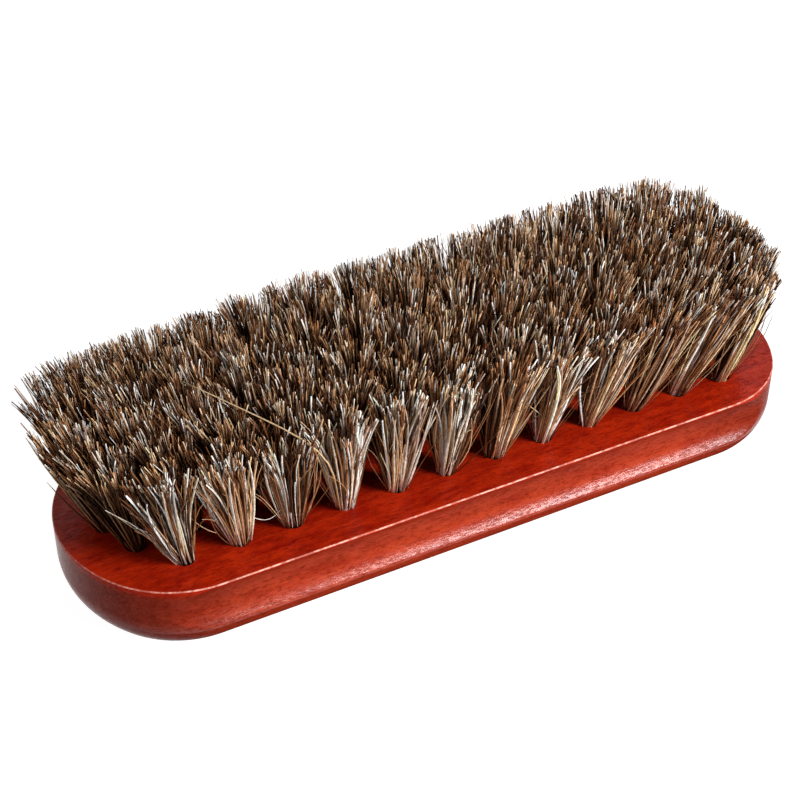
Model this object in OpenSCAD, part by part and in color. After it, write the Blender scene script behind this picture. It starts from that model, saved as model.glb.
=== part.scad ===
// Shoe shine brush, lying on its back with the bristles up.
// Millimetres. Z = 0 is the flat of the back, X runs along the brush,
// and the origin is under the middle of the block.

/* [Block] */
// Length of the wooden block
block_l = 170; // [150:1:200]
// Width of the wooden block
block_w = 53.5; // [46:0.5:64]
// Thickness of the wooden block
block_h = 19; // [16:0.5:26]
// How much longer the radius of an end's crown is than the radius of its corners
crown_extra = 6.5; // [3:0.5:9]
// Radius of the round that runs along the edge of the back
back_r = 10.5; // [6:0.5:13]
// Radius of the small round on the edge of the bristle face
arris_r = 0.4; // [0.2:0.1:1]

/* [Finger grooves] */
// Height of the groove along each long side
groove_h = 10.8; // [8:0.2:13]
// Depth of the groove
groove_d = 2.4; // [1.5:0.1:4]
// Flat left between the groove and the small round above it
groove_land = 0.2; // [0.1:0.1:1]

/* [Tufts] */
// Tufts in the front row and in the back row
outer_count = 12; // [8:1:12]
// Tufts in the two rows next to them
inner_count = 13; // [9:1:13]
// Tufts in the middle row
middle_count = 14; // [10:1:14]
// Distance from an end of the block to the last tuft of an outer row
outer_end = 20.1; // [18:0.1:24]
// Distance from an end of the block to the last tuft of an inner row
inner_end = 13; // [12:0.1:17]
// Distance from an end of the block to the last tuft of the middle row
middle_end = 9.6; // [9:0.1:13]
// Distance between neighbouring rows
row_gap = 8.25; // [7.5:0.05:9]
// Height of the trimmed bristles above the face
trim_h = 27; // [18:0.5:34]
// Distance under the face of the line that the tufts fan out from, seen from the side
fan_x = 290; // [200:5:400]
// The same distance, seen from the end
fan_y = 70; // [60:1:120]
// Most that one strand stands higher or lower than the trim
trim_ragged = 0.8; // [0:0.1:1.5]

/* [Tuft holes] */
// Diameter of a drilled tuft hole
hole_d = 4.2; // [3.6:0.1:4.6]
// Depth of a tuft hole along its axis
hole_depth = 11; // [9:0.5:13]
// Gap between the root of a tuft and the wall and floor of its hole
root_gap = 0.2; // [0.1:0.05:0.3]

/* [Strands] */
// Circumradius of a strand at the mouth of its hole
strand_root_r = 0.5; // [0.4:0.05:0.55]
// Circumradius of a strand where it bends outwards
strand_mid_r = 1.1; // [0.6:0.05:1.2]
// Circumradius of a strand at its tip, as a share of the closest spacing along a row
tip_share = 0.12; // [0.07:0.001:0.125]
// Radius of the ring of strands at the mouth of a hole
ring_root = 1.15; // [1:0.05:1.2]
// Radius of the ring of strands at the tips, as a share of the same spacing
ring_share = 0.388; // [0.3:0.001:0.39]

/* [Anchors] */
// Thickness of the flat wire anchor that each tuft is folded over
anchor_t = 0.5; // [0.4:0.05:0.7]
// Height of an anchor
anchor_h = 1.6; // [1.2:0.1:2]
// How far each end of an anchor bites into the wall of its hole
anchor_bite = 0.5; // [0.3:0.1:0.8]
// Thickness of the folded hair under an anchor
fold_h = 1.2; // [0.8:0.1:2]
// Running gap round an anchor
anchor_gap = 0.1; // [0.05:0.05:0.15]

/* [Hidden] */
$fn = 48;
// A corner arc meets its end arc on a line that rises 3 in 4, so the joint stays exact
join_run = 4;
join_rise = 3;
join_slant = 5;
sector_reach = 20;
half_w = block_w / 2;
corner_y = crown_extra * join_rise / join_slant;
corner_r = half_w - corner_y;
end_r = corner_r + crown_extra;
end_x = block_l / 2 - end_r;
corner_x = end_x + crown_extra * join_run / join_slant;
groove_r = (pow(groove_h / 2, 2) + pow(groove_d, 2)) / (2 * groove_d);
groove_z = block_h - arris_r - groove_land - groove_h / 2;
face_z = block_h;
outer_pitch = (block_l - 2 * outer_end) / (outer_count - 1);
inner_pitch = (block_l - 2 * inner_end) / (inner_count - 1);
middle_pitch = (block_l - 2 * middle_end) / (middle_count - 1);
tuft_room = min(outer_pitch, inner_pitch, middle_pitch);
ring_tip = ring_share * tuft_room;
strand_tip_r = tip_share * tuft_room;
root_d = hole_d - 2 * root_gap;
anchor_w = hole_d + 2 * anchor_bite;
anchor_z = root_gap + fold_h - hole_depth;
root_sink = 1;
root_stand = 0.5;
mouth_cut = 2;
bend_height = 0.45;
bend_spread = 0.4;
ring_strands = 6;
hair_colours = ["#8a6a4a", "#5b412c", "#a98a63"];

OUTER = [for (k = [0 : outer_count - 1]) str("outer_tufts_", k + 1)];
INNER = [for (k = [0 : inner_count - 1]) str("inner_tufts_", k + 1)];
MIDDLE = [for (k = [0 : middle_count - 1]) str("middle_tuft_", k + 1)];

// Place of tuft k in a row of count tufts, row_y from the middle of the brush
function spot(k, count, pitch, row_y) = [(k - (count - 1) / 2) * pitch, row_y];
// Places of the tufts of one station: a pair, one each side of the middle
function outer_spots(k) = [for (s = [-1, 1]) spot(k, outer_count, outer_pitch, s * 2 * row_gap)];
function inner_spots(k) = [for (s = [-1, 1]) spot(k, inner_count, inner_pitch, s * row_gap)];
function middle_spots(k) = [spot(k, middle_count, middle_pitch, 0)];
function all_spots() = concat(
    [for (k = [0 : outer_count - 1]) each outer_spots(k)],
    [for (k = [0 : inner_count - 1]) each inner_spots(k)],
    [for (k = [0 : middle_count - 1]) each middle_spots(k)]);
// Sideways run of a tuft's axis for each millimetre that it rises
function lean(p) = [p[0] / fan_x, p[1] / fan_y];

// Stands a child on the bristle face at p, with Z along the axis of the tuft there
module at_tuft(p) {
    run = lean(p);
    translate([p[0], p[1], face_z])
        rotate([0, acos(1 / norm([run[0], run[1], 1])), atan2(run[1], run[0])])
            rotate([0, 0, -atan2(run[1], run[0])])
                children();
}

// Cross-section of the block from its middle out to an edge at distance r
module edge_profile(r) {
    difference() {
        square([r, block_h]);
        difference() {
            translate([r - back_r, 0])
                square(back_r);
            translate([r - back_r, back_r])
                circle(back_r);
        }
        difference() {
            translate([r - arris_r, block_h - arris_r])
                square(arris_r);
            translate([r - arris_r, block_h - arris_r])
                circle(arris_r);
        }
    }
}

// Round blank of radius r, of which only the sector between two directions is kept
module sector_blank(r, from, to) {
    intersection() {
        rotate_extrude()
            edge_profile(r);
        translate([0, 0, -mouth_cut])
            linear_extrude(height = block_h + 2 * mouth_cut)
                polygon(sector_reach * [[0, 0], from, to]);
    }
}

// One end of the block: its crown between its two corners
module block_end() {
    translate([end_x, 0, 0])
        sector_blank(end_r, [join_run, -join_rise], [join_run, join_rise]);
    for (side = [0, 1])
        mirror([0, side, 0])
            translate([corner_x, corner_y, 0])
                sector_blank(corner_r, [join_run, join_rise], [0, join_rise]);
}

module block_body() {
    translate([-corner_x, 0, 0])
        rotate([90, 0, 90])
            linear_extrude(height = 2 * corner_x) {
                edge_profile(half_w);
                mirror([1, 0])
                    edge_profile(half_w);
            }
    block_end();
    mirror([1, 0, 0])
        block_end();
}

module grooves() {
    for (side = [0, 1])
        mirror([0, side, 0])
            translate([0, -half_w + groove_d - groove_r, groove_z])
                rotate([0, 90, 0])
                    cylinder(h = block_l, r = groove_r, center = true);
}

// Turned blank with its two finger grooves, its tuft holes and the bites of the anchors
module block() {
    color("#a02314")
        difference() {
            block_body();
            grooves();
            for (p = all_spots())
                at_tuft(p) {
                    translate([0, 0, -hole_depth])
                        cylinder(h = hole_depth + mouth_cut, d = hole_d);
                    anchor_blank(anchor_gap);
                }
        }
}

// Flat anchor across the foot of a hole, grown by gap all round
module anchor_blank(gap) {
    translate([-anchor_w / 2 - gap, -anchor_t / 2 - gap, anchor_z - gap])
        cube([anchor_w + 2 * gap, anchor_t + 2 * gap, anchor_h + 2 * gap]);
}

module anchors() {
    color("silver")
        for (p = all_spots())
            at_tuft(p)
                anchor_blank(0);
}

// Centre of strand i of the tuft at p, at height z over the face, in a ring of radius ring
function strand_at(p, i, z, ring) =
    let (run = lean(p), turn = i * 360 / ring_strands, r = i < ring_strands ? ring : 0)
    [p[0] + run[0] * z + r * cos(turn), p[1] + run[1] * z + r * sin(turn), face_z + z];
// Height of the tip of strand i, a little off the trim by a rule that looks uneven
function tip_z(p, i) = trim_h + trim_ragged * sin(77 * i + 41 * p[0] + 23 * p[1]);
// Three corners of radius r round the point c
function corners(c, r, turn) = [for (a = [0, 120, 240]) c + r * [cos(a + turn), sin(a + turn), 0]];

// One three-sided lock of hair, from inside the root to its tip
module strand(p, i) {
    turn = i * 360 / ring_strands;
    top = tip_z(p, i);
    bend_ring = ring_root + (ring_tip - ring_root) * bend_spread;
    points = concat(
        corners(strand_at(p, i, -root_sink, ring_root), strand_root_r, turn),
        corners(strand_at(p, i, bend_height * top, bend_ring), strand_mid_r, turn),
        corners(strand_at(p, i, top, ring_tip), strand_tip_r, turn));
    faces = concat(
        [[0, 1, 2], [8, 7, 6]],
        [for (j = [0, 3], a = [0 : 2]) [j + a, j + a + 3, j + (a + 1) % 3 + 3]],
        [for (j = [0, 3], a = [0 : 2]) [j + a, j + (a + 1) % 3 + 3, j + (a + 1) % 3]]);
    polyhedron(points, faces);
}

// Hair folded over its anchor: a root that fills its hole, and the strands that fan out of it
module tuft(p) {
    difference() {
        at_tuft(p)
            translate([0, 0, root_gap - hole_depth])
                cylinder(h = hole_depth - root_gap + root_stand, d = root_d);
        at_tuft(p)
            anchor_blank(anchor_gap);
    }
    for (i = [0 : ring_strands])
        strand(p, i);
}

module outer_tufts(k) {
    color(hair_colours[k % 3])
        for (p = outer_spots(k))
            tuft(p);
}

module inner_tufts(k) {
    color(hair_colours[(k + 1) % 3])
        for (p = inner_spots(k))
            tuft(p);
}

module middle_tuft(k) {
    color(hair_colours[(k + 2) % 3])
        for (p = middle_spots(k))
            tuft(p);
}

block();
anchors();
for (k = [0 : outer_count - 1])
    outer_tufts(k);
for (k = [0 : inner_count - 1])
    inner_tufts(k);
for (k = [0 : middle_count - 1])
    middle_tuft(k);
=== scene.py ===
import math
import random
from collections import namedtuple

import bmesh
import bpy
import numpy as np
from mathutils import Matrix, Vector


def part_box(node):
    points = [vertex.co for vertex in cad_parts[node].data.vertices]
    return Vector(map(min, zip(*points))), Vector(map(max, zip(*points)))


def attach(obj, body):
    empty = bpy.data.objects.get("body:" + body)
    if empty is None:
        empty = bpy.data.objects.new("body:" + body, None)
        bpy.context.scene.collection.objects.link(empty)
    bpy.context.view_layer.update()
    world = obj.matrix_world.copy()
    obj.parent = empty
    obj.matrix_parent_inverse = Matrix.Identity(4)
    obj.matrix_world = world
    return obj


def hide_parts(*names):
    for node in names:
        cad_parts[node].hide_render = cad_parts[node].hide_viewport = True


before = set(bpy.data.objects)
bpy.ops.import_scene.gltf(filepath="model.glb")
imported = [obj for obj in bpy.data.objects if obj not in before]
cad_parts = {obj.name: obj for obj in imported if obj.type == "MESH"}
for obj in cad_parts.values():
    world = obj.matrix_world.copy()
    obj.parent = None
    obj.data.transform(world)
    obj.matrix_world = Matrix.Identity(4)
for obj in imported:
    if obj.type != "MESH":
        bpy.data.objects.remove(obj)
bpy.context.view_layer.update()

MM = 0.001

# Sizes of the brush in millimetres, as in the part's source
BLOCK_L, BLOCK_W, BLOCK_H = 170.0, 53.5, 19.0
CROWN_EXTRA = 6.5
BACK_R, ARRIS_R = 10.5, 0.4
GROOVE_H, GROOVE_D, GROOVE_LAND = 10.8, 2.4, 0.2
OUTER_COUNT, INNER_COUNT, MIDDLE_COUNT = 12, 13, 14
OUTER_END, INNER_END, MIDDLE_END = 20.1, 13.0, 9.6
ROW_GAP = 8.25
TRIM_H = 27.0
FAN_X, FAN_Y = 290.0, 70.0
HOLE_D, HOLE_DEPTH = 4.2, 11.0

HALF_L, HALF_W = BLOCK_L / 2, BLOCK_W / 2
CORNER_Y = CROWN_EXTRA * 3 / 5
CORNER_R = HALF_W - CORNER_Y
END_X = HALF_L - CORNER_R - CROWN_EXTRA
CORNER_X = END_X + CROWN_EXTRA * 4 / 5
JOIN_ANGLE = math.atan2(3, 4)
GROOVE_R = ((GROOVE_H / 2) ** 2 + GROOVE_D**2) / (2 * GROOVE_D)
GROOVE_Z = BLOCK_H - ARRIS_R - GROOVE_LAND - GROOVE_H / 2
GROOVE_AXIS_Y = -HALF_W + GROOVE_D - GROOVE_R
RIDGE_Z = GROOVE_Z - GROOVE_H / 2

block_low, block_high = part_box("block")
HOME = Vector(((block_low.x + block_high.x) / 2, (block_low.y + block_high.y) / 2, block_low.z))
FACE = HOME + Vector((0, 0, BLOCK_H * MM))

# Camera of the photograph: the place that it looks at, from the middle of the face,
# the direction from there to the camera, and how far away it stands
SENSOR, LENS = 36, 76.72
AIM = (-2.95, 9.58, 0)
TO_CAMERA = (-0.3760, -0.7066, 0.5994)
CAMERA_DISTANCE = 377.7


def place_camera():
    data = bpy.data.cameras.new("camera")
    data.sensor_width = SENSOR
    data.lens = LENS
    data.clip_start = 0.02
    data.clip_end = 30
    camera = bpy.data.objects.new("camera", data)
    back = Vector(TO_CAMERA)
    camera.location = FACE + Vector(AIM) * MM + back * CAMERA_DISTANCE * MM
    camera.rotation_mode = "QUATERNION"
    camera.rotation_quaternion = (-back).to_track_quat("-Z", "Y")
    bpy.context.scene.collection.objects.link(camera)
    bpy.context.scene.camera = camera


# Node graphs

class Graph:
    """Short way to add linked nodes to one node tree."""

    def __init__(self, tree):
        self.tree = tree

    def feed(self, node, values):
        for key, value in values.items():
            if isinstance(value, bpy.types.NodeSocket):
                self.tree.links.new(value, node.inputs[key])
            else:
                node.inputs[key].default_value = value

    def add(self, kind, values=(), **settings):
        node = self.tree.nodes.new(kind)
        for key, value in settings.items():
            setattr(node, key, value)
        self.feed(node, dict(values))
        return node

    def math(self, operation, a, b=0.0):
        return self.add("ShaderNodeMath", {0: a, 1: b}, operation=operation).outputs[0]

    def fade(self, value, low, high, start=0.0, end=1.0):
        spread = {"Value": value, "From Min": low, "From Max": high, "To Min": start, "To Max": end}
        return self.add("ShaderNodeMapRange", spread, interpolation_type="SMOOTHSTEP").outputs["Result"]

    def mix(self, share, a, b, blend="MIX"):
        # 6 and 7 are the colours that the node mixes, and 2 is the mixed one
        values = {0: share, 6: a, 7: b}
        return self.add("ShaderNodeMix", values, data_type="RGBA", blend_type=blend).outputs[2]

    def own_place(self):
        return self.add("ShaderNodeTexCoord").outputs["Object"]

    def attribute(self, name, output="Fac"):
        return self.add("ShaderNodeAttribute", attribute_name=name).outputs[output]

    def drawn_noise(self, place, scale, detail, roughness):
        place = self.add("ShaderNodeMapping", {"Vector": place, "Scale": scale}).outputs["Vector"]
        values = {"Vector": place, "Scale": 1.0, "Detail": detail, "Roughness": roughness}
        return self.add("ShaderNodeTexNoise", values).outputs["Fac"]

    def streaks(self, place, scale, detail, roughness):
        values = {"Place": place, "Scale": scale, "Detail": detail, "Roughness": roughness}
        return self.add("ShaderNodeGroup", values, node_tree=STREAKS).outputs["Mask"]


def streaks_group():
    """Node group of noise drawn out along one axis, as wood, mottled hair and drawn wire show it."""
    group = bpy.data.node_groups.new("streaks", "ShaderNodeTree")
    for name in ("Place", "Scale"):
        group.interface.new_socket(name, in_out="INPUT", socket_type="NodeSocketVector")
    for name in ("Detail", "Roughness"):
        group.interface.new_socket(name, in_out="INPUT", socket_type="NodeSocketFloat")
    group.interface.new_socket("Mask", in_out="OUTPUT", socket_type="NodeSocketFloat")
    g = Graph(group)
    given = g.add("NodeGroupInput").outputs
    noise = g.drawn_noise(given["Place"], given["Scale"], given["Detail"], given["Roughness"])
    g.add("NodeGroupOutput", {"Mask": noise})
    return group


STREAKS = streaks_group()


def shade(red, green, blue):
    """Linear colour of an 8-bit one."""
    def linear(c):
        c /= 255
        return c / 12.92 if c <= 0.04045 else ((c + 0.055) / 1.055) ** 2.4
    return (linear(red), linear(green), linear(blue), 1.0)


def new_material(name):
    material = bpy.data.materials.new(name)
    material.use_nodes = True
    return material, Graph(material.node_tree), material.node_tree.nodes["Principled BSDF"]


# Wood

# Colours as their darker and lighter shade: the stains of the face and walls, the ridge under the groove,
# lighter as painted light, and the round ends, darker as painted shade
FACE_STAIN = (146, 19, 6), (198, 47, 13)
WALL_STAIN = (146, 42, 24), (176, 62, 36)
RIDGE_PAINTED_LIGHT = (158, 42, 22), (186, 66, 34)
END_PAINTED_SHADE = (98, 25, 14), (124, 40, 26)
FLECK, PORE = (76, 8, 4), (44, 6, 4)
FLECK_SHARE, PORE_SHARE = 0.45, 0.45
# Pale worn lacquer on the arris, lightened into a painted highlight along the edge
WORN_EDGE_AND_HIGHLIGHT = (255, 196, 176)
# Distances from the middle of the brush between which the walls darken towards the ends, as painted shade
END_SHADE_FROM, END_SHADE_TO = 42, 78
# Marks of the noise for each millimetre along, across and up the block
BANDS, CLOUDS, GRAIN = (0.12, 0.6, 0.6), (0.2, 0.35, 0.35), (0.7, 2.4, 2.4)
PORES, NICKS, PEEL = (0.9, 6.0, 6.0), (0.55, 0.8, 0.8), (0.35, 0.35, 0.35)
BUMP_H = 0.04
# Level of gloss set on the shader's own socket, which holds wherever a level that changes over the block
# is dropped. Level of gloss of the exported wood, since the export drops one that changes over the block
EXPORTED_GLOSS = 0.15


def stain_colour(g, where, tone):
    """Colour of the stain, from the bright face to the browner walls, lighter at the ridge as painted
    light and darker at the ends as painted shade.
    """
    stains_light_and_shade = FACE_STAIN, WALL_STAIN, RIDGE_PAINTED_LIGHT, END_PAINTED_SHADE
    face, walls, ridge_light, end = (g.mix(tone, shade(*dark), shade(*light)) for dark, light in stains_light_and_shade)
    wall_tone_and_painted_light = g.attribute("wall_tone_and_painted_light")
    # Lighter at the ridge under the groove than up the groove: painted light and shade
    walls = g.mix(g.fade(wall_tone_and_painted_light, 0.5, 1.0), walls, ridge_light)
    along = g.math("ABSOLUTE", g.add("ShaderNodeSeparateXYZ", {0: where}).outputs["X"])
    # Darker towards both round ends: painted shade
    walls = g.mix(g.fade(along, END_SHADE_FROM * MM, END_SHADE_TO * MM, 0.0, 0.75), walls, end)
    return g.mix(g.fade(wall_tone_and_painted_light, 0.0, 0.5), face, walls)


def lacquered_wood():
    """Beech stained red-brown under lacquer: ray flecks and pores run along the block."""
    material, g, surface = new_material("lacquered_wood")
    where = g.own_place()
    mm = g.add("ShaderNodeMapping", {"Vector": where, "Scale": (1 / MM,) * 3}).outputs["Vector"]
    bands = g.streaks(mm, BANDS, 4.0, 0.65)
    clouds = g.streaks(mm, CLOUDS, 4.0, 0.65)
    # Outside the group, because it also feeds the level of the gloss
    grain = g.drawn_noise(mm, GRAIN, 3.0, 0.65)
    flecks = g.fade(grain, 0.5, 0.66)
    pores = g.fade(g.streaks(mm, PORES, 2.0, 0.55), 0.60, 0.67)
    tone = g.math("ADD", g.math("MULTIPLY", bands, 0.6), g.math("MULTIPLY", clouds, 0.4))
    colour = stain_colour(g, where, g.fade(tone, 0.3, 0.7))
    colour = g.mix(g.math("MULTIPLY", flecks, FLECK_SHARE), colour, shade(*FLECK))
    colour = g.mix(g.math("MULTIPLY", pores, PORE_SHARE), colour, shade(*PORE))
    # Worn arris: real wear, broken by nicks, and with it a painted highlight along the edge
    nicks = g.fade(g.streaks(mm, NICKS, 3.0, 0.7), 0.42, 0.62)
    worn_and_highlight = g.math("ADD", g.math("MULTIPLY", nicks, 0.7), 0.3)
    colour = g.mix(g.math("MULTIPLY", g.attribute("edge_wear_and_highlight"), worn_and_highlight), colour, shade(*WORN_EDGE_AND_HIGHLIGHT))
    peel = g.streaks(mm, PEEL, 1.0, 0.5)
    height = g.math("ADD", g.math("MULTIPLY", peel, 0.5), g.math("MULTIPLY", pores, -0.35))
    height = g.math("ADD", height, g.math("MULTIPLY", grain, -1.3))
    bump = g.add("ShaderNodeBump", {"Height": height, "Distance": BUMP_H * MM, "Strength": 1.0})
    rough = g.math("ADD", g.math("MULTIPLY", flecks, 0.10), 0.2)
    gloss = g.math("MULTIPLY", g.attribute("gloss"), g.fade(grain, 0.36, 0.62, 1.35, 0.45))
    g.feed(surface, {"Specular IOR Level": EXPORTED_GLOSS})
    g.feed(surface, {"Base Color": colour, "Roughness": rough, "Normal": bump.outputs["Normal"],
                     "Specular IOR Level": gloss})
    return material


# Hair and wire

# Marks of the noise for each metre: across the hairs and up them, then along the wires and across
HAIR_MARKS, WIRE_MARKS = (2600, 2600, 420), (300, 6000, 6000)
HAIR_GLOSS = 0.03
WIRE_DARK, WIRE_LIGHT = (150, 148, 142), (206, 203, 196)
WIRE_BUMP_H = 0.01


def brush_hair():
    """Undyed horse hair: the colour of each hair, darker towards its root as painted shade, is on its
    mesh, mottled finely along it.
    """
    material, g, surface = new_material("hair")
    fine = g.streaks(g.own_place(), HAIR_MARKS, 2.0, 0.6)
    mottle = g.fade(fine, 0.3, 0.7, 0.72, 1.22)
    mottle = g.add("ShaderNodeCombineColor", {"Red": mottle, "Green": mottle, "Blue": mottle}).outputs[0]
    colour = g.mix(1.0, g.attribute("hair_colour_and_root_shade", "Color"), mottle, "MULTIPLY")
    rough = g.fade(fine, 0.3, 0.7, 0.4, 0.55)
    g.feed(surface, {"Base Color": colour, "Roughness": rough, "Specular IOR Level": HAIR_GLOSS})
    return material


def anchor_metal():
    """Drawn flat wire, brushed along its length and a little dull."""
    material, g, surface = new_material("anchor_wire")
    drawn = g.streaks(g.own_place(), WIRE_MARKS, 3.0, 0.6)
    colour = g.mix(drawn, shade(*WIRE_DARK), shade(*WIRE_LIGHT))
    rough = g.fade(drawn, 0.3, 0.7, 0.28, 0.45)
    bump = g.add("ShaderNodeBump", {"Height": drawn, "Distance": WIRE_BUMP_H * MM}).outputs["Normal"]
    g.feed(surface, {"Base Color": colour, "Roughness": rough, "Normal": bump, "Metallic": 1.0})
    return material


# Pieces and where the tufts stand

def tuft_places():
    """Places of the tufts that each hair piece holds, by the name of its CAD node."""
    def row(count, end):
        pitch = (BLOCK_L - 2 * end) / (count - 1)
        return [(k - (count - 1) / 2) * pitch for k in range(count)]
    places = {}
    for k, x in enumerate(row(OUTER_COUNT, OUTER_END)):
        places[f"outer_tufts_{k + 1}"] = [(x, -2 * ROW_GAP), (x, 2 * ROW_GAP)]
    for k, x in enumerate(row(INNER_COUNT, INNER_END)):
        places[f"inner_tufts_{k + 1}"] = [(x, -ROW_GAP), (x, ROW_GAP)]
    for k, x in enumerate(row(MIDDLE_COUNT, MIDDLE_END)):
        places[f"middle_tuft_{k + 1}"] = [(x, 0)]
    return places


PLACES = tuft_places()


def lean(place):
    """Sideways run of a tuft for each millimetre that it rises."""
    return Vector((place[0] / FAN_X, place[1] / FAN_Y))


def mesh_from(bm, name):
    mesh = bpy.data.meshes.new(name)
    bm.to_mesh(mesh)
    bm.free()
    return mesh


def add_piece(mesh, material, slot, *nodes):
    mesh.materials.append(material)
    piece = bpy.data.objects.new(mesh.name, mesh)
    bpy.context.scene.collection.objects.link(piece)
    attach(piece, "root")
    if nodes:
        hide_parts(*nodes)


# Wooden block

# Degrees and steps of the sweeps, closest where the ridge under the groove has to be smooth
LOWER_TURN, LOWER_STEPS = 62, 14
UPPER_TURN, UPPER_STEPS = 28, 30
WALL_STEPS, ARRIS_STEPS = 30, 6
SIDE_STEPS, CORNER_STEPS, CROWN_STEPS = 30, 44, 40
HOLE_SIDES = 28
# Distances under which vertices are merged, on the block and on the hair
BLOCK_WELD, HAIR_WELD = 0.002, 0.0001
# Blend of the ridge between the groove and the round of the back
RIDGE_BLEND = 0.3
# Round of the lacquer over the rim of a hole, and the share of it and the drop of each step down it
RIM_R = 0.08
RIM_STEPS = (0.5, 0.03), (0.5, 0.09)
# Heights over the ridge, and the tone of the wall and its level of gloss there
# The tone is lighter near the ridge than up the groove: painted light and shade
TONE_AND_LIGHT_BY_RISE = (-0.4, 0.2, 2, 5, 9, 11.4), (0.5, 1, 1, 0.55, 0.5, 0)
GLOSS_BY_RISE = (-0.3, 0.1, 1.2, 3.6), (0, 0.27, 0.25, 0.02)
FACE_GLOSS = 0.12
# Least share of the walls' gloss that the ends keep, and the gloss added round the left end
END_GLOSS_SHARE, LEFT_END_GLOSS = 0.05, 0.05
# Where the arris is worn and painted with a highlight, from the face down, and how much less so at the
# ends
WEAR_AND_HIGHLIGHT_FROM, WEAR_AND_HIGHLIGHT_TO = 0.02, 0.6 * ARRIS_R
END_WEAR_AND_HIGHLIGHT_LOSS = 0.6


def sweep(bm, geom, steps, centre=(0, 0, 0), axis=(0, 0, 1), angle=0.0, shift=(0, 0, 0)):
    """Carries geom on round an axis or straight along shift, and returns its last copy."""
    step = Vector(shift) * MM / steps
    result = bmesh.ops.spin(
        bm, geom=geom, cent=Vector(centre) * MM, axis=axis, dvec=step, angle=angle, steps=steps)
    return result["geom_last"]


def smooth_max(a, b, blend):
    near = max(blend - abs(a - b), 0) / blend
    return max(a, b) + near * near * blend / 4


def edge_section(bm):
    """Section through the edge at the left end of the front side, from the back up to the face."""
    start = Vector((-CORNER_X, -(HALF_W - BACK_R), 0)) * MM
    geom = bmesh.ops.create_vert(bm, co=start)["vert"]
    back_centre = (-CORNER_X, -(HALF_W - BACK_R), BACK_R)
    arris_centre = (-CORNER_X, -(HALF_W - ARRIS_R), BLOCK_H - ARRIS_R)
    across = (1, 0, 0)
    geom = sweep(bm, geom, LOWER_STEPS, back_centre, across, math.radians(-LOWER_TURN))
    geom = sweep(bm, geom, UPPER_STEPS, back_centre, across, math.radians(-UPPER_TURN))
    geom = sweep(bm, geom, WALL_STEPS, shift=(0, 0, BLOCK_H - ARRIS_R - BACK_R))
    sweep(bm, geom, ARRIS_STEPS, arris_centre, across, math.radians(-90))
    return bm.verts[:] + bm.edges[:]


def edge_wall(bm):
    """The whole edge of the block: its section swept round the outline."""
    geom = edge_section(bm)
    corner_turn = math.pi / 2 - JOIN_ANGLE
    up = (0, 0, 1)
    for side in (1, -1):
        geom = sweep(bm, geom, SIDE_STEPS, shift=(side * 2 * CORNER_X, 0, 0))
        geom = sweep(bm, geom, CORNER_STEPS, (side * CORNER_X, -side * CORNER_Y, 0), up, corner_turn)
        geom = sweep(bm, geom, CROWN_STEPS, (side * END_X, 0, 0), up, 2 * JOIN_ANGLE)
        geom = sweep(bm, geom, CORNER_STEPS, (side * CORNER_X, side * CORNER_Y, 0), up, corner_turn)
    bmesh.ops.remove_doubles(bm, verts=bm.verts[:], dist=BLOCK_WELD * MM)


def press_grooves(bm):
    """Moves the wall in to the finger groove of each long side, with a softened ridge under it."""
    for v in bm.verts:
        rise = v.co.z / MM - GROOVE_Z
        if abs(rise) >= GROOVE_R:
            continue
        side = -1 if v.co.y < 0 else 1
        groove = GROOVE_AXIS_Y + math.sqrt(GROOVE_R**2 - rise**2)
        v.co.y = -side * smooth_max(-abs(v.co.y) / MM, groove, RIDGE_BLEND) * MM


def shade_walls(bm):
    """Writes the wear with its painted highlight, the tone with its painted light and shade, and the
    gloss of the walls on their vertices for the wood to read.
    """
    wear_and_highlight = bm.verts.layers.float.new("edge_wear_and_highlight")
    tone = bm.verts.layers.float.new("wall_tone_and_painted_light")
    gloss = bm.verts.layers.float.new("gloss")
    for v in bm.verts:
        height = v.co.z / MM
        rise = height - RIDGE_Z
        end = max(0, min(1, (abs(v.co.x) / MM - CORNER_X) / (HALF_L - CORNER_X)))
        # The pale worn arris also carries a painted highlight along the edge
        on_arris = WEAR_AND_HIGHLIGHT_FROM < BLOCK_H - height < WEAR_AND_HIGHLIGHT_TO
        v[wear_and_highlight] = 1 - END_WEAR_AND_HIGHLIGHT_LOSS * end if on_arris else 0.0
        # Lighter near the ridge and darker up the groove: painted light and shade
        v[tone] = np.interp(rise, *TONE_AND_LIGHT_BY_RISE)
        v[gloss] = np.interp(rise, *GLOSS_BY_RISE)
        v[gloss] *= max(END_GLOSS_SHARE, (1 - end) ** 2)
        v[gloss] += LEFT_END_GLOSS * end**2 if v.co.x < 0 else 0
    return gloss


def drill_hole(bm, place):
    """One blind hole, leaning with its tuft, with lacquer rounded over its rim."""
    axis = Vector((*lean(place), 1)).normalized()
    mouth = Vector((place[0], place[1], BLOCK_H)) * MM
    rim = bmesh.ops.create_circle(bm, segments=HOLE_SIDES, radius=(HOLE_D / 2 + RIM_R) * MM)["verts"]
    bmesh.ops.translate(bm, vec=mouth, verts=rim)
    edges = list(dict.fromkeys(e for v in rim for e in v.link_edges))
    ring = edges
    for shrink, drop in (*RIM_STEPS, (0, HOLE_DEPTH)):
        grown = bmesh.ops.extrude_edge_only(bm, edges=ring)["geom"]
        verts = [g for g in grown if isinstance(g, bmesh.types.BMVert)]
        ring = [g for g in grown if isinstance(g, bmesh.types.BMEdge)]
        scale = 1 - shrink * RIM_R / (HOLE_D / 2)
        middle = sum((v.co for v in verts), Vector()) / len(verts)
        bmesh.ops.scale(bm, vec=(scale, scale, 1), space=Matrix.Translation(-middle), verts=verts)
        bmesh.ops.translate(bm, vec=-axis * drop * MM, verts=verts)
    bmesh.ops.edgeloop_fill(bm, edges=ring)
    return edges


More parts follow.
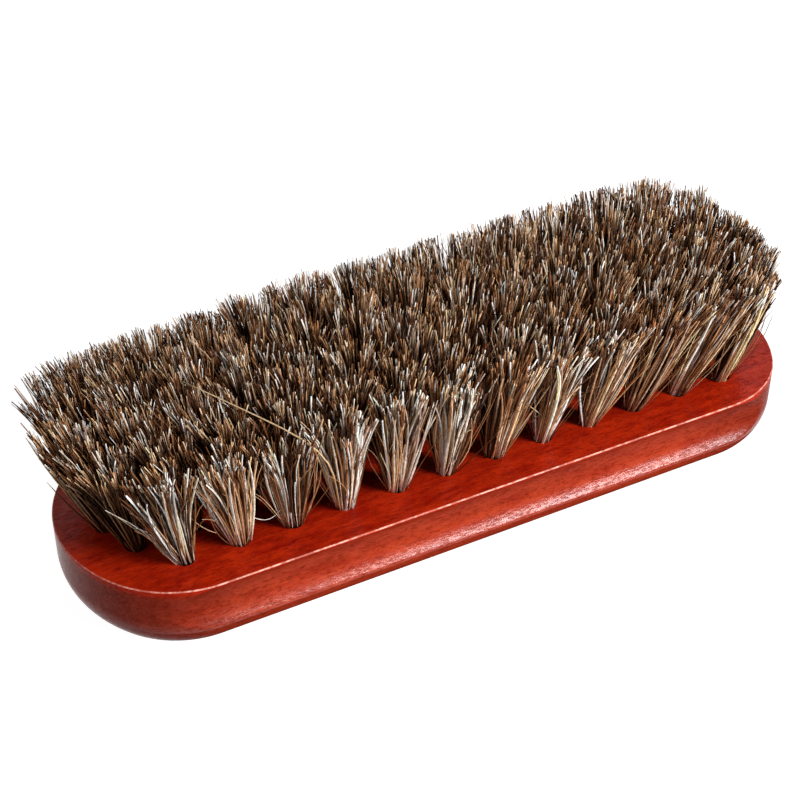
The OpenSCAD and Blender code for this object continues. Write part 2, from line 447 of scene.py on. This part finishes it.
def close_block(bm, gloss):
    """Closes the back, and the face round its drilled holes. Both flats are shaded flat."""
    open_edges = [e for e in bm.edges if e.is_boundary]
    back = [e for e in open_edges if e.verts[0].co.z < 0.001 * MM]
    face = [e for e in open_edges if e.verts[0].co.z > (BLOCK_H - 0.01) * MM]
    bmesh.ops.edgeloop_fill(bm, edges=back)
    for places in PLACES.values():
        for place in places:
            face += drill_hole(bm, place)
    for e in face:
        for v in e.verts:
            v[gloss] = FACE_GLOSS
    filled = bmesh.ops.triangle_fill(bm, use_beauty=True, edges=face, normal=(0, 0, 1))["geom"]
    flat = {g for g in filled if isinstance(g, bmesh.types.BMFace)}
    bmesh.ops.recalc_face_normals(bm, faces=bm.faces[:])
    for f in bm.faces:
        f.smooth = f not in flat and f.normal.z >= -0.9999


def build_block(material):
    bm = bmesh.new()
    edge_wall(bm)
    press_grooves(bm)
    gloss = shade_walls(bm)
    close_block(bm, gloss)
    bmesh.ops.translate(bm, vec=HOME, verts=bm.verts[:])
    add_piece(mesh_from(bm, "wood_block"), material, "lacquered_wood", "block")


# Shades of the hair

# Share of the hairs, share in the front row, colour at the root, colour at the tip, and thickness
# The darker colour at the root of each shade is painted shade deep inside the tuft
HairShade = namedtuple("HairShade", "share front_share root tip width")
# The front row's lighter shares are partly pale hair, partly painted light on the lit front
DARK = HairShade(0.31, 0.22, (28, 14, 8), (60, 34, 21), 0.95)
BROWN = HairShade(0.24, 0.24, (66, 40, 24), (122, 79, 53), 1.0)
TAN = HairShade(0.19, 0.22, (112, 78, 51), (180, 131, 92), 1.0)
BLOND = HairShade(0.14, 0.16, (164, 128, 96), (236, 194, 153), 1.1)
CREAM = HairShade(0.13, 0.13, (214, 192, 170), (255, 243, 228), 1.3)
GREY = HairShade(0.03, 0.03, (120, 100, 90), (182, 158, 145), 1.1)
HAIR_SHADES = (DARK, BROWN, TAN, BLOND, CREAM, GREY)
# Shades that the fine stray hairs and the deep ones are picked from
FRONT_FINE_SHADES = (BROWN, TAN, BLOND)
FINE_SHADES = (BROWN, TAN, BLOND, BLOND)
DEEP_SHADES = (DARK, BROWN, BROWN, TAN)
# Places along the front row, and how many times its usual share of cream a tuft has there
# More cream towards the left is partly the hairs' own, partly painted light where less light falls
CREAM_AND_LIGHT_BY_X = (-64, -40, 0), (6, 3.6, 1.4)
# How far the light and the warmth of single hairs of one shade differ
LIGHT, WARM = (0.8, 1.22), (-5, 7)


def vary(rng, entry):
    """Colours and thickness of one hair of the given shade."""
    light = rng.uniform(*LIGHT)
    warm = rng.uniform(*WARM)
    def tint(c):
        return [max(0, min(255, c[0] * light + warm)), min(255, c[1] * light),
                max(0, min(255, c[2] * light - warm))]
    return tint(entry.root), tint(entry.tip), entry.width


def pick_shade(rng, front=False, cream_and_light=1.0):
    shares = [s.front_share if front else s.share for s in HAIR_SHADES]
    weights = [share * (cream_and_light if s is CREAM else 1) for s, share in zip(HAIR_SHADES, shares)]
    return rng.choices(HAIR_SHADES, weights)[0]


def in_disc(rng, radius):
    r, turn = radius * math.sqrt(rng.random()), rng.uniform(0, 2 * math.pi)
    return Vector((r * math.cos(turn), r * math.sin(turn)))


# Trim of the hair

# Places at the level of the tips where the rows part and the gap between the tufts shows
GAPS = (
    (-72, -15), (-59, -15), (-45, -12), (-35, -16), (-18, -14), (-25, -7), (-7, -14),
    (10, -6), (8, 9), (34, -14), (-38, 4), (-46, -2), (-21, 17), (-37, 16),
)
GAP_R = (2.5, 3.5)
# Small gaps strewn over the whole of the trim
SMALL_GAPS, SMALL_GAP_R = 120, (0.5, 1.5)
SMALL_GAPS_X, SMALL_GAPS_Y = (-84, 80), (-24, 24)
# Share of its way into a gap that the end of a hair keeps, and its drop for each millimetre of it
GAP_KEPT, GAP_SINK = 0.3, 0.7
# Rounded outline that the tips are trimmed to: its middle, its half sizes to the sides, front
# and back, where the back bows out most, and the rounds of its corners
TRIM_X, TRIM_HALF_X, TRIM_HALF_Y = -3.9, 84.1, 25
TRIM_FRONT, TRIM_BACK, TRIM_BOW, TRIM_BOW_X = 27.0, 28.8, 0.0006, 35
BACK_CORNER_R, LEFT_CORNER_R, RIGHT_CORNER_R = 11, 20, 22
# Distance inside the outline from which tips are drawn in, and the share of their excess that is
TRIM_MARGIN, TRIM_PULL = 1.0, 0.7


def make_gaps():
    rng = random.Random(5)
    gaps = [(Vector(place), rng.uniform(*GAP_R)) for place in GAPS]
    for _ in range(SMALL_GAPS):
        place = Vector((rng.uniform(*SMALL_GAPS_X), rng.uniform(*SMALL_GAPS_Y)))
        gaps.append((place, rng.uniform(*SMALL_GAP_R)))
    return gaps


def part_hair(end, gaps):
    """Pushes the end of a hair out of the gaps, and says how much lower it then stands."""
    sunk = 0.0
    for middle, radius in gaps:
        away = end - middle
        reach = away.length
        if reach < radius:
            end = middle + away * (radius - GAP_KEPT * (radius - reach)) / max(reach, 0.05)
            sunk += GAP_SINK * (radius - reach)
    return end, sunk


def trim_side(end):
    """Draws in the end of a hair that stands out of the rounded outline of the trimmed brush."""
    depth = TRIM_BACK - TRIM_BOW * (end.x - TRIM_BOW_X) ** 2 if end.y > 0 else TRIM_FRONT
    x, y = end.x - TRIM_X, end.y * TRIM_HALF_Y / depth
    radius = BACK_CORNER_R if end.y > 0 else LEFT_CORNER_R if x < 0 else RIGHT_CORNER_R
    over_x, over_y = max(abs(x) - TRIM_HALF_X + radius, 0), max(abs(y) - TRIM_HALF_Y + radius, 0)
    reach = math.hypot(over_x, over_y)
    excess = reach - radius + TRIM_MARGIN
    if excess <= 0:
        return end
    back = TRIM_PULL * excess / reach
    x -= math.copysign(over_x * back, x)
    y -= math.copysign(over_y * back, y)
    return Vector((x + TRIM_X, y * depth / TRIM_HALF_Y))


# Courses of the hairs

Strand = namedtuple("Strand", "points radii root tip turn", defaults=(1.0,))
RINGS = 7
# Height under the face where a hair starts, and the power that brings its rings closer to its tip
ROOT_Z, RING_POWER = -1.5, 0.7


def hair_course(place, run, height, aside):
    """Points up a leaning hair, each moved by aside, which is given its share of the way up."""
    points = []
    for i in range(RINGS):
        s = (i / (RINGS - 1)) ** RING_POWER
        z = ROOT_Z + (height - ROOT_Z) * s
        out = aside(s)
        points.append((place.x + run.x * z + out.x, place.y + run.y * z + out.y, z))
    return points


def tapered(radius, loss, rings=RINGS, power=3):
    """Radii up a hair that loses the given share of its radius by its tip."""
    return [radius * (1 - loss * (i / (rings - 1)) ** power) for i in range(rings)]


# Tufts, all in millimetres round the place of the tuft

ROOT_RADIUS, TIP_RADIUS = 1.98, 6.8
# Hairs of one tuft and the fine ones that stray out of it, in the front row, inside and at the back
FRONT_HAIRS, HAIRS = 175, 225
FRONT_FINE, FINE, BACK_FINE = 30, 20, 70
BUNDLES, LOCKS = 10, 44
# How much the trim differs from tuft to tuft, lock to lock and hair to hair
TUFT_RAGGED, LOCK_RAGGED, HAIR_RAGGED = 0.25, 0.75, 0.3
# Drop of a tip for each millimetre from its lock's middle, and by the square from its tuft's
LOCK_DROP, TUFT_DROP = 0.35, 0.008
# Share of the way that a hair is drawn to its bundle at the hole, and to its lock at the tip
TO_BUNDLE, TO_LOCK = 0.25, (0.5, 0.95)
# Most that the tips of a bundle and of one hair are moved aside, and that a lock and a hair curl
BUNDLE_SHIFT, HAIR_SHIFT = 0.9, 0.4
LOCK_CURL, HAIR_CURL = 1.87, 1.5
# Distance from the middle of the brush past which a tuft stands at its end
END_TUFT_X = 70
# Back row: how much wider a tuft fans out along the brush, also past BACK_END_X, and away from it
BACK_WIDER_X, BACK_END_X, BACK_END_WIDER_X, BACK_WIDER_Y = 1.15, 45, 1.45, 1.2
# How much further back its hairs reach, and more of it by the x of the tuft and of the tip squared
BACK_OUT, BACK_OUT_BY_X, BACK_OUT_BY_TIP = 1.8, 0.02, 0.05
# The same for the last tufts of the rows before it
END_WIDER_Y, END_OUT = 1.25, 1.5
# Share of the spread of a hair that grows evenly with its height
FRONT_FLARE, FLARE = (0.55, 0.95), (0.65, 1.1)
# Most that a hair bows and sways on its way up, and that a fine one of the front row does
BOW, SWAY = 0.65, 0.2
FRONT_FINE_BOW, FRONT_FINE_SWAY = 2.08, 0.6
# Shares of the hairs that stray far and at all, and how far they stray aside and down
FAR_STRAYS, STRAYS = 0.03, 0.2
FAR_STRAY, FAR_DROP, STRAY = 6.0, 8, 1.8
FINE_STRAY, FINE_RISE = 3.0, (-2.5, 1.2)
# How much more the hairs on the rim of the brush stray, bow and sway
RIM_STRAY = 1.4
# Shares of the hairs that have the shade of their bundle, and of that or of their lock
FRONT_IN_BUNDLE, IN_BUNDLE, IN_BUNDLE_OR_LOCK = 0.4, 0.15, 0.45
# Hairs of a front tuft rooted before this share of its radius face out, with no painted shade at the root
FACING_Y = 0.2
HAIR_R, FINE_R, FRONT_WIDER = (0.16, 0.23), (0.09, 0.12), 1.2
# Share of its radius that the tip of a hair keeps, and the power that its tip colour comes in by
# The higher that power, the further up the painted shade of the root colour reaches
TIP_SHARE, TURN = (0.2, 0.7), (3, 10)

Bundle = namedtuple("Bundle", "middle shift shade")
Lock = namedtuple("Lock", "middle rise curl shade")


class Tuft:
    """What the hairs of one tuft share: its row, its lean, its bundles at the hole and its locks."""

    def __init__(self, rng, place):
        self.place = Vector(place)
        self.run = lean(self.place)
        self.front = self.place.y < -1.5 * ROW_GAP
        self.back = self.place.y > 1.5 * ROW_GAP
        at_end = abs(self.place.x) > END_TUFT_X
        self.back_end = self.place.y > 0 and at_end
        self.stray = RIM_STRAY if self.front or self.back or at_end else 1.0
        self.trim = TRIM_H + rng.uniform(-TUFT_RAGGED, TUFT_RAGGED)
        # Extra cream at the front and to the left: partly pale hair, partly painted light
        self.cream_and_light = np.interp(self.place.x, *CREAM_AND_LIGHT_BY_X) if self.front else 1.0
        self.bundles = [
            Bundle(in_disc(rng, 1.0), in_disc(rng, BUNDLE_SHIFT), pick_shade(rng, self.front, self.cream_and_light))
            for _ in range(BUNDLES)]
        self.locks = [
            Lock(in_disc(rng, 1.0), rng.gauss(0, LOCK_RAGGED), in_disc(rng, LOCK_CURL),
                 pick_shade(rng, self.front))
            for _ in range(LOCKS)]

    def widen(self, tip):
        """Moves the tip of a back hair out, as the far edge of the brush fans out further."""
        if self.back:
            tip.x *= BACK_WIDER_X if self.place.x < BACK_END_X else BACK_END_WIDER_X
            tip.y *= BACK_WIDER_Y
            tip.y += max(0, BACK_OUT + BACK_OUT_BY_X * self.place.x) + BACK_OUT_BY_TIP * tip.x**2
        elif self.back_end:
            tip.y = tip.y * END_WIDER_Y + END_OUT


def hair_end(rng, tuft, unit, bundle, lock, fine, gaps):
    """Tip of a hair against the lean of its tuft, the curl before it, and its height."""
    tip = unit.lerp(lock.middle, rng.uniform(*TO_LOCK)) * TIP_RADIUS + bundle.shift
    tip += in_disc(rng, HAIR_SHIFT)
    tuft.widen(tip)
    curl = lock.curl + in_disc(rng, HAIR_CURL)
    in_lock = (unit - lock.middle).length * TIP_RADIUS
    height = tuft.trim + lock.rise + rng.gauss(0, HAIR_RAGGED) - LOCK_DROP * in_lock
    wild = rng.random()
    if fine and not tuft.front:
        tip += in_disc(rng, FINE_STRAY)
        height += rng.uniform(*FINE_RISE)
    elif fine or wild < FAR_STRAYS:
        tip += in_disc(rng, FAR_STRAY)
        height -= rng.uniform(0, FAR_DROP)
    elif wild < STRAYS:
        tip += in_disc(rng, STRAY * tuft.stray)
    height -= TUFT_DROP * tip.length**2
    end, sunk = part_hair(tuft.place + tuft.run * height + tip + curl, gaps)
    tip = trim_side(end) - tuft.place - tuft.run * height - curl
    return tip, curl, height - sunk


def bent_course(rng, tuft, root, tip, curl, height, fine):
    """Points of a hair that flares out of its hole, bows, sways and curls to its tip."""
    flare = rng.uniform(*(FRONT_FLARE if tuft.front else FLARE))
    front_fine = fine and tuft.front
    bow = in_disc(rng, FRONT_FINE_BOW if front_fine else BOW * tuft.stray)
    sway = in_disc(rng, FRONT_FINE_SWAY if front_fine else SWAY * tuft.stray)
    phase = rng.uniform(0, math.pi)
    def aside(s):
        out = root.lerp(tip, flare * s + (1 - flare) * s * s) + curl * s**4
        out += bow * math.sin(math.pi * s)
        out += sway * math.sin(2 * math.pi * s + phase) * s
        return out
    return hair_course(tuft.place, tuft.run, height, aside)


def hair_look(rng, tuft, bundle, lock, facing, fine):
    """Colours and thickness of a hair, often those of its bundle or its lock."""
    entry = pick_shade(rng, tuft.front, tuft.cream_and_light if facing else 1.0)
    alike = rng.random()
    if alike < (FRONT_IN_BUNDLE if tuft.front else IN_BUNDLE):
        entry = bundle.shade
    elif not tuft.front and alike < IN_BUNDLE_OR_LOCK:
        entry = lock.shade
    if fine:
        entry = rng.choice(FRONT_FINE_SHADES if tuft.front else FINE_SHADES)
    return vary(rng, entry)


def tuft_hair(rng, tuft, fine, gaps):
    """One hair of a tuft, or one of the fine ones that stray out of it."""
    unit = in_disc(rng, 1.0)
    bundle = min(tuft.bundles, key=lambda b: (b.middle - unit).length)
    lock = min(tuft.locks, key=lambda c: (c.middle - unit).length)
    root = unit.lerp(bundle.middle, TO_BUNDLE) * ROOT_RADIUS
    tip, curl, height = hair_end(rng, tuft, unit, bundle, lock, fine, gaps)
    points = bent_course(rng, tuft, root, tip, curl, height, fine)
    facing = tuft.front and unit.y < FACING_Y
    root_shade, tip_shade, width = hair_look(rng, tuft, bundle, lock, facing, fine)
    if facing:
        root_shade = tip_shade
    radius = rng.uniform(*FINE_R) if fine else rng.uniform(*HAIR_R) * width
    radius *= FRONT_WIDER if tuft.front and not fine else 1.0
    radii = tapered(radius, 1 - rng.uniform(*TIP_SHARE))
    turn = 1.0 if tuft.front else rng.uniform(*TURN)
    return Strand(points, radii, root_shade, tip_shade, turn)


def tuft_strands(rng, place, gaps):
    """Hairs of one tuft: packed at the hole, fanning out in pointed locks to a trimmed top."""
    tuft = Tuft(rng, place)
    hairs = FRONT_HAIRS if tuft.front else HAIRS
    fine = FRONT_FINE if tuft.front else BACK_FINE if tuft.back else FINE
    return [tuft_hair(rng, tuft, n >= hairs, gaps) for n in range(hairs + fine)]


# Deep hairs

DEEP_TRIES = 80
# Distance of a deep hair from the middle of its hole, as a share of the radius of the hole's hair
DEEP_ROOT = 0.85
DEEP_REACH, DEEP_DROP, DEEP_R = (3.5, 8.0), (2.5, 8), (0.15, 0.2)
DEEP_TURN, DEEP_TAPER = 4.0, 0.6
# Most that the y of a deep hair's direction times the y of its tuft may be, so that it keeps
# under the trim and doesn't lean out of the side that its tuft is on
FRONT_DEEP_LIMIT, DEEP_LIMIT = -3, 6
# A tuft past this x has no deep hairs that lean out of the end that it is near
DEEP_END_X = 60


def deep_strands(rng, place):
    """Short wide hairs of one tuft under the trim, which close the view down between the tufts."""
    place = Vector(place)
    limit = FRONT_DEEP_LIMIT if place.y < -1.5 * ROW_GAP else DEEP_LIMIT
    strands = []
    for _ in range(DEEP_TRIES):
        turn = rng.uniform(0, 2 * math.pi)
        outward = Vector((math.cos(turn), math.sin(turn)))
        root, tip = outward * ROOT_RADIUS * DEEP_ROOT, outward * rng.uniform(*DEEP_REACH)
        height = TRIM_H - rng.uniform(*DEEP_DROP)
        root_shade, tip_shade, _ = vary(rng, rng.choice(DEEP_SHADES))
        off_end = abs(place.x) > DEEP_END_X and outward.x * place.x > 0
        if off_end or outward.y * place.y > limit:
            continue
        radii = tapered(rng.uniform(*DEEP_R), DEEP_TAPER)
        points = hair_course(place, lean(place), height, lambda s: root.lerp(tip, s))
        strands.append(Strand(points, radii, root_shade, tip_shade, DEEP_TURN))
    return strands


# Loose hairs

LOOSE_RINGS, LOOSE_TAPER = 14, 0.5
# Hairs that got away from their tufts: shade, radius and course, from the middle of the face
LOOSE = (
    (BLOND, 0.25, ((-31, -17.3, -1), (-34.5, -23, 11), (-37.2, -27.4, 21.5), (-39.5, -27, 26.3),
                   (-44.6, -20, 27.8), (-50.3, -9.4, 28.4), (-55.7, 1.2, 28.6))),
    (CREAM, 0.17, ((-66.4, -17.2, -1), (-69.4, -18.4, 4.4), (-72, -19, 10.4), (-75.1, -19, 15.1),
                   (-77.6, -19.2, 17.6), (-80.2, -19.4, 20.8))),
    (CREAM, 0.15, ((-66.2, -17.3, -1), (-69.6, -19, 6.2), (-71.2, -20, 8.8), (-72.2, -20, 12.6),
                   (-75, -20, 14.8))),
    (BLOND, 0.11, ((-64.6, -17.6, 13.4), (-62.6, -19, 10), (-60.6, -19, 7.6), (-58.4, -18.4, 5.4))),
    (CREAM, 0.09, ((-53.2, -17.8, 9.2), (-51, -19.2, 7), (-48.6, -19.4, 5.4), (-46.6, -19.2, 5.2),
                   (-44.8, -18.8, 6.4))),
    (BLOND, 0.16, ((13.4, -18.6, 7), (15.7, -19.2, 9.5), (19.4, -19.4, 10.7), (23, -19.4, 11.7),
                   (26, -19.2, 11.4), (28.4, -19, 9.2), (29.6, -18.4, 6.2))),
    (CREAM, 0.2, ((4.6, -17, -1), (4, -17.8, 6), (3.1, -18.4, 11.4), (1.9, -19, 15.6),
                  (-0.4, -19.6, 20.4))),
    (BLOND, 0.11, ((-42.9, -16.8, -1), (-46.5, -18.5, 6), (-49.5, -19.5, 12), (-54, -20, 16),
                   (-58, -20.5, 17.5))),
    (BLOND, 0.11, ((-19.3, -17, -1), (-22, -19, 8), (-25, -20.5, 15), (-29.5, -21, 19.5))),
    (CREAM, 0.16, ((7.5, -17, -1), (11.5, -19, 8), (15, -21, 16), (16.5, -22, 23))),
    (BLOND, 0.11, ((19.2, -17, -1), (16.8, -19.5, 7), (11.5, -21, 13.5), (6.5, -21.5, 18))),
    (TAN, 0.11, ((42.8, -17, -1), (47.5, -19.5, 7.5), (53.5, -21, 13), (58.5, -21.5, 15.5))),
    (CREAM, 0.15, ((31, -17, -1), (33, -19.5, 9), (31, -21.5, 17), (27.5, -23, 22.5))),
)


def smooth_path(points, count):
    """Course of a loose hair, as count points on a soft curve."""
    path = np.array(points, float)
    at = np.concatenate([[0], np.cumsum(np.linalg.norm(np.diff(path, axis=0), axis=1))])
    where = np.linspace(0, at[-1], count)
    path = np.stack([np.interp(where, at, path[:, k]) for k in range(3)], 1)
    for _ in range(3):
        path[1:-1] = (path[:-2] + 2 * path[1:-1] + path[2:]) / 4
    return [tuple(p) for p in path]


def loose_strands(rng):
    strands = []
    for entry, radius, course in LOOSE:
        root_shade, tip_shade, _ = vary(rng, entry)
        radii = tapered(radius, LOOSE_TAPER, LOOSE_RINGS, 2)
        strands.append(Strand(smooth_path(course, LOOSE_RINGS), radii, root_shade, tip_shade))
    return strands


# Meshes of the hair

SIDES = 3
# Clear edge of a strand's cell in the UV map, as a share of the cell
CELL_MARGIN = 0.12


def strand_section():
    """Three-cornered section that the hairs are drawn out of."""
    curve = bpy.data.curves.new("strand_section", "CURVE")
    curve.dimensions = "2D"
    spline = curve.splines.new("POLY")
    spline.points.add(SIDES - 1)
    spline.use_cyclic_u = True
    for i, point in enumerate(spline.points):
        turn = -2 * math.pi * i / SIDES
        point.co = (math.cos(turn), math.sin(turn), 0, 1)
    section = bpy.data.objects.new("strand_section", curve)
    bpy.context.scene.collection.objects.link(section)
    return section


def drawn_out(name, strands, section):
    """Mesh of the strands, the section drawn out along the course of each."""
    curve = bpy.data.curves.new(name, "CURVE")
    curve.dimensions = "3D"
    curve.bevel_mode = "OBJECT"
    curve.bevel_object = section
    curve.use_fill_caps = True
    for strand in strands:
        spline = curve.splines.new("POLY")
        spline.points.add(len(strand.points) - 1)
        spline.points.foreach_set("co", [c for x, y, z in strand.points for c in (
            x * MM + FACE.x, y * MM + FACE.y, z * MM + FACE.z, 1)])
        spline.points.foreach_set("radius", [r * MM for r in strand.radii])
    holder = bpy.data.objects.new(name + "_curve", curve)
    bpy.context.scene.collection.objects.link(holder)
    graph = bpy.context.evaluated_depsgraph_get()
    mesh = bpy.data.meshes.new_from_object(holder.evaluated_get(graph), depsgraph=graph)
    mesh.name = name
    bpy.data.objects.remove(holder)
    bpy.data.curves.remove(curve)
    return mesh


def place_on_strands(mesh, count, rings):
    """The strand that each vertex is on, and how far along it, from 0 at the root to 1 at the tip."""
    # The mesh holds the caps first, last strand first, tip before root, then the sides in order
    cap = 2 * SIDES
    index = np.arange(len(mesh.vertices))
    side = index - cap * count
    in_cap = side < 0
    strand_of = np.where(in_cap, count - 1 - index // cap, side // (rings * SIDES))
    cap_ring = np.where(index % cap < SIDES, rings - 1, 0)
    ring_of = np.where(in_cap, cap_ring, side % (rings * SIDES) // SIDES)
    return strand_of, ring_of / (rings - 1)


def colour_strands(mesh, strands, strand_of, along):
    """Colours each strand from its darker root, which is painted shade, to its tip, later along it the
    higher its turn.
    """
    turn = np.array([s.turn for s in strands])[strand_of]
    roots = np.array([shade(*s.root) for s in strands])[strand_of]
    tips = np.array([shade(*s.tip) for s in strands])[strand_of]
    colours = roots + (tips - roots) * (along**turn)[:, None]
    layer = mesh.color_attributes.new("hair_colour_and_root_shade", "FLOAT_COLOR", "POINT")
    layer.data.foreach_set("color", colours.ravel().astype(np.float32))


def lay_out_strands(mesh, count, strand_of, along):
    """Gives each strand its own cell of the UV map, from its root on the left to its tip."""
    layer = mesh.uv_layers[0]
    layer.name = "OFBake"
    corners = np.zeros(len(mesh.loops), int)
    mesh.loops.foreach_get("vertex_index", corners)
    uv = np.zeros(len(mesh.loops) * 2, np.float32)
    layer.data.foreach_get("uv", uv)
    uv = uv.reshape(-1, 2)
    uv[:, 0] = along[corners]
    cells = math.ceil(math.sqrt(count))
    cell = strand_of[corners]
    uv = np.stack([cell % cells, cell // cells], 1) + CELL_MARGIN + (1 - 2 * CELL_MARGIN) * uv
    layer.data.foreach_set("uv", (uv / cells).ravel().astype(np.float32))


def strand_mesh(name, strands, section):
    """Mesh of the strands, coloured, laid out on the UV map and closed at their ends."""
    mesh = drawn_out(name, strands, section)
    strand_of, along = place_on_strands(mesh, len(strands), len(strands[0].points))
    colour_strands(mesh, strands, strand_of, along)
    lay_out_strands(mesh, len(strands), strand_of, along)
    bm = bmesh.new()
    bm.from_mesh(mesh)
    bmesh.ops.remove_doubles(bm, verts=bm.verts[:], dist=HAIR_WELD * MM)
    for f in bm.faces:
        f.smooth = True
    bm.to_mesh(mesh)
    bm.free()
    return mesh


def build_hair(material):
    section = strand_section()
    rng = random.Random(11)
    deep = random.Random(23)
    gaps = make_gaps()
    for name, places in PLACES.items():
        strands = [s for place in places for s in tuft_strands(rng, place, gaps)]
        strands += [s for place in places for s in deep_strands(deep, place)]
        add_piece(strand_mesh("hair_" + name, strands, section), material, "hair", name)
    add_piece(strand_mesh("loose_hairs", loose_strands(rng), section), material, "hair")
    bpy.data.objects.remove(section)


# Studio, in metres

FLOOR_R, FLOOR_DROP = 6.0, 0.0001
FLOOR_GREY, FLOOR_LIFT = 0.4, 0.93
SKY_LIGHT = 0.12


def seen_directly(g):
    """1 where the camera sees a thing itself, in gloss or through glass, and 0 for its light."""
    rays = g.add("ShaderNodeLightPath").outputs
    seen = g.math("MAXIMUM", rays["Is Camera Ray"], rays["Is Glossy Ray"])
    return g.math("MAXIMUM", seen, rays["Is Transmission Ray"])


def floor_paper():
    material = bpy.data.materials.new("floor_paper")
    material.use_nodes = True
    g = Graph(material.node_tree)
    g.tree.nodes.clear()
    paper = g.add("ShaderNodeBsdfDiffuse", {"Color": (FLOOR_GREY, FLOOR_GREY, FLOOR_GREY, 1)})
    strength = g.math("MULTIPLY", seen_directly(g), FLOOR_LIFT)
    lift = g.add("ShaderNodeEmission", {"Color": (1, 1, 1, 1), "Strength": strength})
    both = g.add("ShaderNodeAddShader", {0: paper.outputs[0], 1: lift.outputs[0]})
    g.add("ShaderNodeOutputMaterial", {"Surface": both.outputs[0]})
    return material


def build_floor():
    bm = bmesh.new()
    bmesh.ops.create_circle(bm, cap_ends=True, segments=64, radius=FLOOR_R)
    bmesh.ops.translate(bm, vec=(0, 0, block_low.z - FLOOR_DROP), verts=bm.verts[:])
    mesh = mesh_from(bm, "floor")
    mesh.materials.append(floor_paper())
    floor = bpy.data.objects.new("floor", mesh)
    bpy.context.scene.collection.objects.link(floor)


def build_world():
    world = bpy.data.worlds.new("studio")
    bpy.context.scene.world = world
    world.use_nodes = True
    g = Graph(world.node_tree)
    g.tree.nodes.clear()
    strength = g.fade(seen_directly(g), 0.0, 1.0, SKY_LIGHT, 1.0)
    sky = g.add("ShaderNodeBackground", {"Color": (1, 1, 1, 1), "Strength": strength})
    g.add("ShaderNodeOutputWorld", {"Surface": sky.outputs[0]})


def add_softbox(name, direction, distance, width, height, radiance):
    data = bpy.data.lights.new(name, "AREA")
    data.shape = "RECTANGLE"
    data.size = width
    data.size_y = height
    data.energy = radiance * math.pi * width * height
    lamp = bpy.data.objects.new(name, data)
    away = Vector(direction).normalized()
    lamp.location = FACE + away * distance
    lamp.rotation_mode = "QUATERNION"
    lamp.rotation_quaternion = away.to_track_quat("Z", "Y")
    bpy.context.scene.collection.objects.link(lamp)


place_camera()
build_block(lacquered_wood())
build_hair(brush_hair())
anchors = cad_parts["anchors"]
anchors.data.materials.clear()
anchors.data.materials.append(anchor_metal())
build_floor()
build_world()
add_softbox(
    "key_softbox", (0.459, -0.764, 0.454), distance=1.1, width=0.31, height=0.6, radiance=27.5)
add_softbox(
    "fill_softbox", (-0.86, -0.35, 0.36), distance=1.2, width=0.8, height=0.6, radiance=2.2)
bpy.context.scene.view_settings.view_transform = "Standard"
